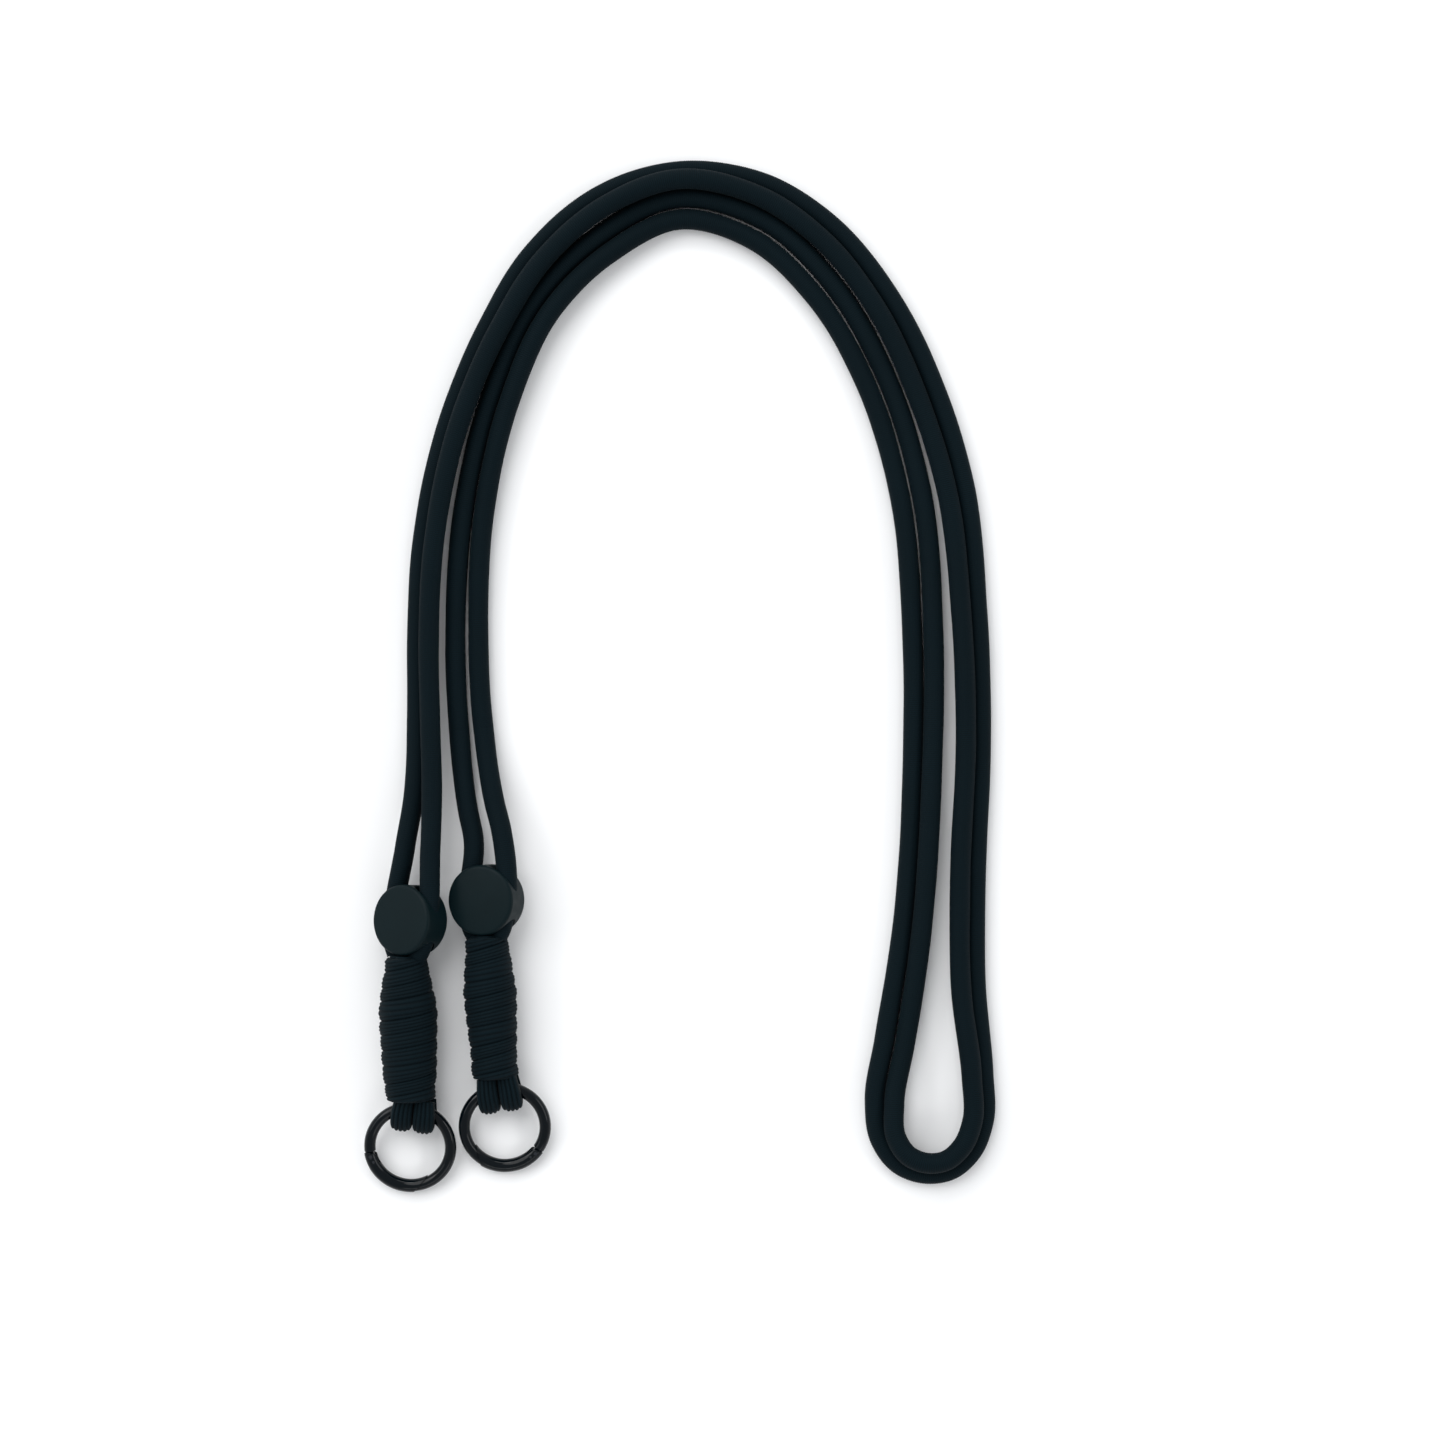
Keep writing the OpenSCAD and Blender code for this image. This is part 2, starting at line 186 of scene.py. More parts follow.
def new_piece(name, points, faces, uv=None, columns=0, wrap=(0, 0)):
    """A mesh object from points, faces and one (u, v) for each point. Where rows of
    that many columns close on themselves, wrap is what (u, v) gain all round."""
    mesh = bpy.data.meshes.new(name)
    mesh.from_pydata([tuple(p) for p in points], [], faces)
    if uv is not None:
        layer = mesh.uv_layers.new(name="Lay")
        corners = np.empty(len(mesh.loops), np.int32)
        mesh.loops.foreach_get("vertex_index", corners)
        laid = np.asarray(uv, np.float32)[corners]
        if columns:
            seam = 4 * (np.arange(1, len(points) // columns) * columns - 1)
            laid[seam + 1] += np.float32(wrap)
            laid[seam + 2] += np.float32(wrap)
        layer.data.foreach_set("uv", laid.ravel())
    mesh.validate()
    mesh.update()
    mesh.polygons.foreach_set("use_smooth", [True] * len(mesh.polygons))
    piece = bpy.data.objects.new(name, mesh)
    bpy.context.scene.collection.objects.link(piece)
    return piece


def grid_faces(rows, columns):
    """Quads between rows of points, closed around each row."""
    faces = []
    for i in range(rows - 1):
        a, b = i * columns, (i + 1) * columns
        for k in range(columns):
            n = (k + 1) % columns
            faces.append((a + k, a + n, b + n, b + k))
    return faces


def capped_faces(rows, columns):
    """Quads between closed rows of points, with a face over each end."""
    first = tuple(range(columns - 1, -1, -1))
    last = tuple((rows - 1) * columns + k for k in range(columns))
    return grid_faces(rows, columns) + [first, last]


def face_out(piece):
    """Turns every face outwards."""
    shape = bmesh.new()
    shape.from_mesh(piece.data)
    bmesh.ops.recalc_face_normals(shape, faces=shape.faces)
    shape.to_mesh(piece.data)
    shape.free()


def directions(points):
    """Unit tangent at each point of a path."""
    steps = np.diff(points, axis=0)
    steps /= np.linalg.norm(steps, axis=1)[:, None]
    around = np.vstack([steps[:1], steps[:-1] + steps[1:], steps[-1:]])
    return around / np.linalg.norm(around, axis=1)[:, None]


def resample(points, step):
    """Points an even step apart along a path, with the distance of each."""
    lengths = np.linalg.norm(np.diff(points, axis=0), axis=1)
    along = np.concatenate([[0], np.cumsum(lengths)])
    count = max(2, int(round(along[-1] / step)) + 1)
    at = np.linspace(0, along[-1], count)
    return np.stack([np.interp(at, along, points[:, k]) for k in range(3)], axis=1), at


def apply_modifiers(piece):
    """Replaces a piece's mesh by what its modifiers make."""
    bpy.context.view_layer.update()
    graph = bpy.context.evaluated_depsgraph_get()
    mesh = bpy.data.meshes.new_from_object(piece.evaluated_get(graph))
    old = piece.data
    piece.modifiers.clear()
    piece.data = mesh
    bpy.data.meshes.remove(old)


def cut(piece, tools):
    """Cuts closed tools out of a piece and removes them."""
    for tool in tools:
        step = piece.modifiers.new("cut", "BOOLEAN")
        step.operation = "DIFFERENCE"
        step.solver = "EXACT"
        step.object = tool
    apply_modifiers(piece)
    for tool in tools:
        bpy.data.objects.remove(tool)


def lathe(name, profile, segments):
    """A closed solid of revolution about Z from (radius, height) points, whose
    first and last points are on the axis."""
    inner = profile[1:-1]
    points = [(0, 0, profile[0][1])]
    for r, z in inner:
        points += [(r * math.cos(FULL_TURN * k / segments),
                    r * math.sin(FULL_TURN * k / segments), z) for k in range(segments)]
    points.append((0, 0, profile[-1][1]))
    faces = [tuple(reversed([p + 1 for p in quad]))
             for quad in grid_faces(len(inner), segments)]
    end = len(points) - 1
    ring = 1 + (len(inner) - 1) * segments
    for k in range(segments):
        n = (k + 1) % segments
        faces.append((0, 1 + k, 1 + n))
        faces.append((end, ring + n, ring + k))
    piece = new_piece(name, points, faces)
    face_out(piece)
    return piece


def bar_between(name, start, end, radius, segments):
    """A round bar, used as a cutting tool."""
    axis = Vector(end) - Vector(start)
    turn = axis.to_track_quat("Z", "Y").to_matrix().to_4x4()
    profile = [(0, 0), (radius, 0), (radius, axis.length), (0, axis.length)]
    piece = lathe(name, profile, segments)
    piece.data.transform(Matrix.Translation(start) @ turn)
    return piece


def place(piece, matrix):
    """Moves a piece's mesh into the row frame."""
    piece.data.transform(matrix)
    if matrix.determinant() < 0:
        piece.data.flip_normals()
    piece.data.update()


# ------------------------------------------------------------------ materials

# Noise scales are in waves for each metre.

# How much lighter or darker than its colour each hard material gets in patches
PLASTIC_FLOW = 1.45
ENAMEL_POOLS = 1.7
METAL_TARNISH = 0.55
TABLE_CLOUDS = 1.01

# Ribbed cord's fine weave: its pitch, and how far a rib shifts it, in pitches
TWILL_PITCH = 0.42 * MM
TWILL_LEAN = 0.5


class Recipe:
    """A procedural material, built one node at a time."""

    def __init__(self, name):
        self.material = bpy.data.materials.new(name)
        self.material.use_nodes = True
        self.tree = self.material.node_tree
        self.shader = self.tree.nodes["Principled BSDF"]

    def add(self, kind, **values):
        made = self.tree.nodes.new(kind)
        for key, value in values.items():
            if hasattr(made, key):
                setattr(made, key, value)
            else:
                made.inputs[key.replace("_", " ").title()].default_value = value
        return made

    def link(self, start, end):
        self.tree.links.new(start, end)

    def feed(self, name, value):
        self.link(value, self.shader.inputs[name])

    def math(self, operation, first, second=None):
        made = self.add("ShaderNodeMath", operation=operation)
        for socket, value in zip(made.inputs, (first, second)):
            if value is None:
                continue
            if isinstance(value, (int, float)):
                socket.default_value = value
            else:
                self.link(value, socket)
        return made.outputs[0]

    def mix(self, factor, low, high):
        made = self.add("ShaderNodeMix", data_type="RGBA")
        self.link(factor, made.inputs["Factor"])
        for name, value in (("A", low), ("B", high)):
            socket = [s for s in made.inputs if s.name == name and s.type == "RGBA"][0]
            if isinstance(value, bpy.types.NodeSocket):
                self.link(value, socket)
            else:
                socket.default_value = (*value, 1)
        return [s for s in made.outputs if s.type == "RGBA"][0]

    def noise(self, scale, detail=3.0, roughness=0.5):
        made = self.add("ShaderNodeTexNoise", Scale=scale, Detail=detail,
                        Roughness=roughness)
        where = self.add("ShaderNodeTexCoord").outputs["Object"]
        self.link(where, made.inputs["Vector"])
        return made.outputs["Fac"]

    def between(self, value, low, high):
        made = self.add("ShaderNodeMapRange")
        self.link(value, made.inputs["Value"])
        made.inputs["To Min"].default_value = low
        made.inputs["To Max"].default_value = high
        return made.outputs["Result"]

    def bump(self, height, distance, strength, below=None):
        made = self.add("ShaderNodeBump")
        made.inputs["Distance"].default_value = distance
        made.inputs["Strength"].default_value = strength
        self.link(height, made.inputs["Height"])
        if below is not None:
            self.link(below, made.inputs["Normal"])
        return made.outputs["Normal"]


def knit_material(name, colour, lit_crown_colour, course, wales):
    """Knitted yarn. The courses follow the Lay coordinates, whose U is the turn
    round the cord and whose V is the distance along it in metres."""
    recipe = Recipe(name)
    lay = recipe.add("ShaderNodeUVMap", uv_map="Lay").outputs["UV"]
    split = recipe.add("ShaderNodeSeparateXYZ")
    recipe.link(lay, split.inputs[0])
    column = recipe.math("MULTIPLY", split.outputs["X"], float(wales))
    zigzag = recipe.math("PINGPONG", column, 0.5)
    rows = recipe.math("DIVIDE", split.outputs["Y"], course)
    leaning = recipe.math("ADD", rows, recipe.math("MULTIPLY", zigzag, 0.5))
    wave = recipe.math("SINE", recipe.math("MULTIPLY", leaning, FULL_TURN))
    crown = recipe.between(wave, low=0.0, high=1.0)
    crown.node.inputs["From Min"].default_value = -1.0
    fibre = recipe.noise(scale=5200.0, detail=4.0, roughness=0.65)
    patches = recipe.noise(scale=38.0)
    # Painted shade: the colour is darker in the grooves between the courses and lighter on
    # their crowns; the fibre and patch noise add random tone.
    raised = recipe.math("MULTIPLY", crown, recipe.between(fibre, low=0.35, high=1.25))
    toned = recipe.math("MULTIPLY", raised, recipe.between(patches, low=0.55, high=1.25))
    recipe.feed("Base Color", recipe.mix(toned, colour, lit_crown_colour))
    recipe.feed("Roughness", recipe.between(fibre, low=0.62, high=0.92))
    stitches = recipe.bump(crown, distance=0.06 * MM, strength=0.6)
    surface = recipe.bump(fibre, distance=0.05 * MM, strength=0.7, below=stitches)
    recipe.feed("Normal", surface)
    recipe.shader.inputs["Specular IOR Level"].default_value = 0.08
    recipe.shader.inputs["Sheen Weight"].default_value = 0.02
    recipe.shader.inputs["Sheen Roughness"].default_value = 0.4
    return recipe.material


def ribbed_material(name, colour, lit_crown_colour):
    """Flat ribbed cord. U of the Lay coordinates counts ribs, V is in metres."""
    recipe = Recipe(name)
    lay = recipe.add("ShaderNodeUVMap", uv_map="Lay").outputs["UV"]
    split = recipe.add("ShaderNodeSeparateXYZ")
    recipe.link(lay, split.inputs[0])
    half_turns = recipe.math("MULTIPLY", split.outputs["X"], math.pi)
    rib = recipe.math("ABSOLUTE", recipe.math("SINE", half_turns))
    twill = recipe.math("ADD", recipe.math("DIVIDE", split.outputs["Y"], TWILL_PITCH),
                        recipe.math("MULTIPLY", split.outputs["X"], TWILL_LEAN))
    wave = recipe.math("SINE", recipe.math("MULTIPLY", twill, FULL_TURN))
    yarn = recipe.between(wave, low=0.0, high=1.0)
    yarn.node.inputs["From Min"].default_value = -1.0
    fibre = recipe.noise(scale=5600.0, detail=4.0, roughness=0.65)
    patches = recipe.noise(scale=60.0)
    # Painted shade: the colour is darker in the grooves between the ribs and between the
    # yarns of the twill, and lighter on their crowns; the fibre and patch noise add random
    # tone.
    raised = recipe.math("MULTIPLY", rib, recipe.between(fibre, low=0.3, high=1.2))
    raised = recipe.math("MULTIPLY", raised, recipe.between(yarn, low=0.6, high=1.0))
    toned = recipe.math("MULTIPLY", raised, recipe.between(patches, low=0.6, high=1.25))
    recipe.feed("Base Color", recipe.mix(toned, colour, lit_crown_colour))
    recipe.feed("Roughness", recipe.between(fibre, low=0.6, high=0.9))
    weave = recipe.bump(yarn, distance=0.05 * MM, strength=0.6)
    surface = recipe.bump(fibre, distance=0.05 * MM, strength=0.7, below=weave)
    recipe.feed("Normal", surface)
    recipe.shader.inputs["Specular IOR Level"].default_value = 0.08
    recipe.shader.inputs["Sheen Weight"].default_value = 0.02
    recipe.shader.inputs["Sheen Roughness"].default_value = 0.4
    return recipe.material


def moulded_material(name, colour):
    """Satin moulded plastic with a fine texture, faint flow and rubbed patches."""
    recipe = Recipe(name)
    flow = recipe.noise(scale=90.0, detail=4.0)
    grain = recipe.noise(scale=3800.0)
    rubbed = recipe.noise(scale=420.0, detail=5.0, roughness=0.6)
    light = tuple(c * PLASTIC_FLOW for c in colour)
    recipe.feed("Base Color", recipe.mix(flow, colour, light))
    recipe.feed("Roughness", recipe.between(rubbed, low=0.36, high=0.60))
    surface = recipe.bump(grain, distance=0.03 * MM, strength=0.35)
    recipe.feed("Normal", surface)
    recipe.shader.inputs["Specular IOR Level"].default_value = 0.1
    return recipe.material


def enamel_material(name, colour):
    """Gloss black enamel, a little uneven, with fine rubbing marks."""
    recipe = Recipe(name)
    pooled = recipe.noise(scale=260.0)
    marks = recipe.noise(scale=2600.0, detail=6.0, roughness=0.7)
    light = tuple(c * ENAMEL_POOLS for c in colour)
    recipe.feed("Base Color", recipe.mix(pooled, colour, light))
    recipe.feed("Roughness", recipe.between(marks, low=0.06, high=0.16))
    surface = recipe.bump(pooled, distance=0.06 * MM, strength=0.35)
    recipe.feed("Normal", surface)
    recipe.shader.inputs["Specular IOR Level"].default_value = 0.12
    recipe.shader.inputs["Coat Weight"].default_value = 0.16
    recipe.shader.inputs["Coat Roughness"].default_value = 0.04
    return recipe.material


def metal_material(name, colour, low, high):
    """Bare or blackened steel with turned marks."""
    recipe = Recipe(name)
    marks = recipe.noise(scale=4200.0, detail=5.0, roughness=0.7)
    tarnish = recipe.noise(scale=900.0)
    dark = tuple(c * METAL_TARNISH for c in colour)
    recipe.feed("Base Color", recipe.mix(tarnish, dark, colour))
    recipe.feed("Roughness", recipe.between(marks, low, high))
    surface = recipe.bump(marks, distance=0.01 * MM, strength=0.4)
    recipe.feed("Normal", surface)
    recipe.shader.inputs["Metallic"].default_value = 1.0
    return recipe.material


def table_material(name, colour):
    """Pale matte surface."""
    recipe = Recipe(name)
    clouds = recipe.noise(scale=6.0, detail=2.0)
    light = tuple(min(1.0, c * TABLE_CLOUDS) for c in colour)
    recipe.feed("Base Color", recipe.mix(clouds, colour, light))
    recipe.feed("Roughness", recipe.between(clouds, low=0.85, high=0.95))
    recipe.shader.inputs["Specular IOR Level"].default_value = 0.1
    return recipe.material


def dress(piece, material):
    """Gives a piece one material."""
    piece.data.materials.clear()
    piece.data.materials.append(material)


def dress_node(node, material):
    """Gives a CAD node that stays in view a better material."""
    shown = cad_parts[node]
    if shown.material_slots:
        for held in shown.material_slots:
            held.link = "OBJECT"
            held.material = material
    else:
        shown.data.materials.append(material)


# ------------------------------------------------------------------ the cords

POINTS_PER_SPAN = 24

# A cord's ends are pinched by this share over this length, to go into the neck
CORD_PINCH = 0.10
CORD_PINCH_LENGTH = 1.5 * MM

# How far neighbouring stitches are shifted along the cord, in courses
STITCH_LEAN = 0.25

# How a cord's thickness wanders: how far, the two rates in radians for each metre,
# and the second one's start
WANDER = 0.02 * MM
WANDER_RATES = (310, 137)
WANDER_START = 1.3


def smooth_route():
    """The route as a smooth run of (x, y, lift, gap, roll) rows."""
    rows = np.array(ROUTE, float)
    spans = np.linalg.norm(np.diff(rows[:, :2], axis=0), axis=1)
    slopes = np.diff(rows, axis=0) / spans[:, None]
    ends = np.empty_like(rows)
    ends[0], ends[-1] = slopes[0], slopes[-1]
    before, after = spans[:-1, None], spans[1:, None]
    ends[1:-1] = (slopes[:-1] * after + slopes[1:] * before) / (before + after)
    made = []
    for i, span in enumerate(spans):
        for t in np.arange(POINTS_PER_SPAN) / POINTS_PER_SPAN:
            made.append((2 * t**3 - 3 * t**2 + 1) * rows[i]
                        + (t**3 - 2 * t**2 + t) * span * ends[i]
                        + (3 * t**2 - 2 * t**3) * rows[i + 1]
                        + (t**3 - t**2) * span * ends[i + 1])
    made.append(rows[-1])
    return np.array(made)


def cord_line(side, radius):
    """Centreline of one cord: side is 1 for the outer cord, -1 for the inner."""
    rows = smooth_route()
    ahead = directions(np.column_stack([rows[:, :2], np.zeros(len(rows))]))
    half = rows[:, 3] / 2
    roll = np.radians(rows[:, 4])
    across = side * half * np.cos(roll)
    lift = np.maximum(rows[:, 2], 0)
    height = radius + half * np.abs(np.sin(roll)) + lift - side * half * np.sin(roll)
    return np.column_stack([rows[:, 0] - ahead[:, 1] * across,
                            rows[:, 1] + ahead[:, 0] * across, height])


def knitted_tube(name, line, settings):
    """A round knitted cord along a line: each course is a raised ring, and the
    stitches of neighbouring wales lean against each other."""
    centres, along = resample(line, settings.course / 2)
    ahead = directions(centres)
    up = np.array([0.0, 0.0, 1.0])
    side = np.cross(ahead, up)
    side /= np.linalg.norm(side, axis=1)[:, None]
    top = np.cross(side, ahead)
    turn = FULL_TURN * np.arange(settings.sides) / settings.sides
    ridge = np.where(np.arange(len(centres)) % 2 == 0, 0.5, -0.5) * settings.relief
    slow, fast = along * WANDER_RATES[1] + WANDER_START, along * WANDER_RATES[0]
    wander = WANDER * (np.sin(fast) + np.sin(slow))
    near = np.minimum(along, along[-1] - along) / CORD_PINCH_LENGTH
    pinch = 1 - CORD_PINCH * np.exp(-near ** 2)
    radius = (settings.diameter / 2 + ridge + wander) * pinch
    alternate = np.where(np.arange(settings.sides) % 2 == 0, 0.5, -0.5)
    lean = STITCH_LEAN * settings.course * alternate
    points = (centres[:, None]
              + radius[:, None, None] * (np.cos(turn)[None, :, None] * side[:, None]
                                         + np.sin(turn)[None, :, None] * top[:, None])
              + lean[None, :, None] * ahead[:, None])
    rows, columns = len(centres), settings.sides
    faces = capped_faces(rows, columns)
    uv = np.stack(np.broadcast_arrays((np.arange(columns) / columns)[None, :],
                                      along[:, None]), axis=-1).reshape(-1, 2)
    piece = new_piece(name, points.reshape(-1, 3), faces, uv, columns, (1, 0))
    face_out(piece)
    return piece


class STRAP_OT_cords(bpy.types.Operator):
    """Lay the two knitted cords along their shared route"""

    bl_idname = "strap.cords"
    bl_label = "Cords"

    def execute(self, context):
        settings = context.scene.strap_cord
        material = knit_material("knitted cord", settings.colour, settings.lit_crown_colour,
                                 settings.course, settings.sides)
        for side, node in ((1, "outer_cord"), (-1, "inner_cord")):
            line = cord_line(side, settings.diameter / 2)
            piece = knitted_tube(node + "_knit", line, settings)
            dress(piece, material)
            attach(piece, "strap")
            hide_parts(node)
        return {"FINISHED"}


# ------------------------------------------------------------------ the whipped ends

# Each end: the middle of the whipping's bottom and top, the radius of each turn
# from the bottom up, the middle of the eye of its bights with its turn in plan in
# degrees, the length of a bight's legs, how far the bound ends stand out of the
# whipping towards the stopper, and which side each bight is on.
ENDS = {
    "left": {
        "bottom": (-0.0124, -0.0190, 0.0072), "top": (-0.0134, 0.0196, 0.0093),
        "turns": (6.8, 7.2, 7.6, 7.7, 7.9, 8.0, 7.6, 6.8, 5.8),
        "eye": (-0.0116, -0.0223, 0.0059), "eye_turn": -7, "leg": 0.0036, "reach": 0.00052,
        "bights": {"left_outer_bight": -1, "left_inner_bight": 1},
    },
    "right": {
        "bottom": (0.0104, -0.0130, 0.0071), "top": (0.0081, 0.0249, 0.0080),
        "turns": (6.4, 6.4, 6.6, 6.9, 7.2, 7.4, 6.9, 6.4, 5.8),
        "eye": (0.0114, -0.0169, 0.0059), "eye_turn": 8, "leg": 0.0042, "reach": 0.00057,
        "bights": {"right_outer_bight": 1, "right_inner_bight": -1},
    },
}

# Radius of the bound ends that a whipping is wound on
CORE_RADIUS = 4.6 * MM
WHIPPING_COLUMNS = 168
WHIPPING_ROW = 0.12 * MM

# The rounding at both ends of a whipping: its length, and the share of the wound
# thickness that is left at the very end
WHIPPING_SHOULDER = 1.1 * MM
SHOULDER_FLOOR = 0.25

# Radius at which the weave of the wound cord is measured
WHIPPING_LAY_RADIUS = 7.5 * MM

# The lay of the wound cord: how far it leans over the front, in turns, then slow
# drifts as (how far, turns of whipping in a wave)
LAY_TILT = 0.11
LAY_DRIFTS = ((0.09, 3.3), (0.05, 1.9))
CREASE_SHARPNESS = 0.5
RIB_SHARPNESS = 0.7

# Uneven winding: how far a turn stands in or out, how deep a crease is against the
# setting, and how often both change, in turns
TURN_UNEVENNESS = 0.13 * MM
CREASE_RANGE = (0.4, 1.2)
STATION_STEP = 0.5
STATIONS_BEYOND = 3

# The bound ends: the grooves between their four lobes, and how they draw in at both
# ends
BUNDLE_COLUMNS = 96
BUNDLE_ROW = 0.5 * MM
LOBE_DEPTH = 0.9 * MM
LOBE_SHARPNESS = 0.6
BUNDLE_TUCK = 0.08
BUNDLE_TUCK_LENGTH = 0.3 * MM

# A bight: the inside of its turn, half the gap to the one beside it, and the share
# by which it narrows up to the whipping
BIGHT_WIDTH = 5.9 * MM
BIGHT_THICKNESS = 2.8 * MM
EYE_RADIUS = 2.9 * MM
BIGHT_GAP = 0.05 * MM
BIGHT_NARROWING = 0.10

# Its section: the power of the outside's curve, the share of the thickness left at
# the edges, and the ribs, whose depth is against that on the whipping
BIGHT_CROWN = 2.8
BIGHT_EDGE = 0.06
BIGHT_RIBS = 5
BIGHT_RIB_DEPTH = 1.6
BIGHT_RIB_SHARPNESS = 0.8

# Its mesh, and the radius at which its weave is measured
BIGHT_ROW = 0.2 * MM
BIGHT_TURN_ROWS = 72
BIGHT_OUTSIDE_COLUMNS = 60
BIGHT_INSIDE_COLUMNS = 14
BIGHT_LAY_RADIUS = 4.3 * MM


def along_axis(bottom, top):
    """Matrix whose Z runs from bottom to top and whose X faces away from the floor."""
    bottom, top = Vector(bottom), Vector(top)
    ahead = (top - bottom).normalized()
    across = ahead.cross(Vector((0, 0, 1))).normalized()
    up = across.cross(ahead)
    turned = Matrix((up, -across, ahead)).transposed().to_4x4()
    return Matrix.Translation(bottom) @ turned


def whipping_mesh(name, end, settings, seed):
    """A ribbed flat cord wound round the bound ends, as one closed skin."""
    length = (Vector(end["top"]) - Vector(end["bottom"])).length
    turns = len(end["turns"])
    rows = int(length / WHIPPING_ROW) + 1
    height = np.linspace(0, length, rows)[:, None]
    angle = (FULL_TURN * np.arange(WHIPPING_COLUMNS) / WHIPPING_COLUMNS)[None, :]
    chance = np.random.default_rng(seed)
    middle = (np.arange(turns) + 0.5) * length / turns
    girth = np.interp(height, middle, np.array(end["turns"]) * MM)
    # the wound cord climbs one turn each time round
    wound = height / length * turns + angle / FULL_TURN - 0.5
    # the lay is steeper over the front than behind, and wanders a little
    wound = wound + LAY_TILT * np.sin(angle)
    for share, waves in LAY_DRIFTS:
        drift = chance.uniform(0, FULL_TURN) + angle
        wound = wound + share * np.sin(FULL_TURN * height / length * turns / waves + drift)
    part = wound - np.floor(wound)
    # how many turns of cord lie before a point, which runs on across the seam
    laid = np.floor(wound) - angle / FULL_TURN
    stations = np.arange(-STATIONS_BEYOND, turns + STATIONS_BEYOND + 1, STATION_STEP)
    uneven = chance.uniform(-1, 1, len(stations)) * TURN_UNEVENNESS
    own = np.interp(laid, stations, uneven)
    depth = chance.uniform(*CREASE_RANGE, len(stations))
    below, above = (np.interp(laid + turn, stations, depth) for turn in (0, 1))
    creased = (1 - part) * below + part * above
    band = 1 - creased * (1 - np.sin(math.pi * part) ** CREASE_SHARPNESS)
    rib = np.abs(np.sin(math.pi * settings.ribs * part)) ** RIB_SHARPNESS
    radius = girth - settings.crease * (1 - band) + own - settings.rib_relief * (1 - rib)
    near = np.minimum(height, length - height)
    fall = np.sqrt(np.clip(1 - (1 - np.clip(near / WHIPPING_SHOULDER, 0, 1)) ** 2, 0, 1))
    kept = SHOULDER_FLOOR + (1 - SHOULDER_FLOOR) * fall
    radius = CORE_RADIUS + (radius - CORE_RADIUS) * kept
    points = np.stack(np.broadcast_arrays(radius * np.cos(angle), radius * np.sin(angle),
                                          height), axis=-1)
    uv = np.stack(np.broadcast_arrays(settings.ribs * wound, angle * WHIPPING_LAY_RADIUS),
                  axis=-1)
    faces = capped_faces(rows, WHIPPING_COLUMNS)
    piece = new_piece(name, points.reshape(-1, 3), faces, uv.reshape(-1, 2),
                      WHIPPING_COLUMNS, (settings.ribs, FULL_TURN * WHIPPING_LAY_RADIUS))
    face_out(piece)
    place(piece, along_axis(end["bottom"], end["top"]))
    return piece


def bundle_mesh(name, end):
    """The bound cord ends: four round lobes that show at both ends of a whipping."""
    length = (Vector(end["top"]) - Vector(end["bottom"])).length
    columns, rows = BUNDLE_COLUMNS, int(length / BUNDLE_ROW)
    angle = FULL_TURN * np.arange(columns) / columns
    lobe = np.abs(np.cos(2 * angle)) ** LOBE_SHARPNESS
    radius = CORE_RADIUS - LOBE_DEPTH * (1 - lobe)
    height = np.linspace(0, length + end["reach"], rows)
    near = np.minimum(height, height[-1] - height)
    tuck = 1 - BUNDLE_TUCK * np.exp(-near / BUNDLE_TUCK_LENGTH)
    points = np.stack([tuck[:, None] * radius[None, :] * np.cos(angle)[None, :],
                       tuck[:, None] * radius[None, :] * np.sin(angle)[None, :],
                       np.broadcast_to(height[:, None], (rows, columns))], axis=-1)
    uv = np.stack(np.broadcast_arrays((angle / FULL_TURN)[None, :],
                                      height[:, None]), axis=-1)
    faces = capped_faces(rows, columns)
    piece = new_piece(name, points.reshape(-1, 3), faces, uv.reshape(-1, 2),
                      columns, (1, 0))
    face_out(piece)
    place(piece, along_axis(end["bottom"], end["top"]))
    return piece


def eye_matrix(end):
    """Matrix that carries a bight from its own axes to the eye of its end."""
    turn = Matrix.Rotation(math.radians(end["eye_turn"]), 4, "Z")
    return Matrix.Translation(end["eye"]) @ turn


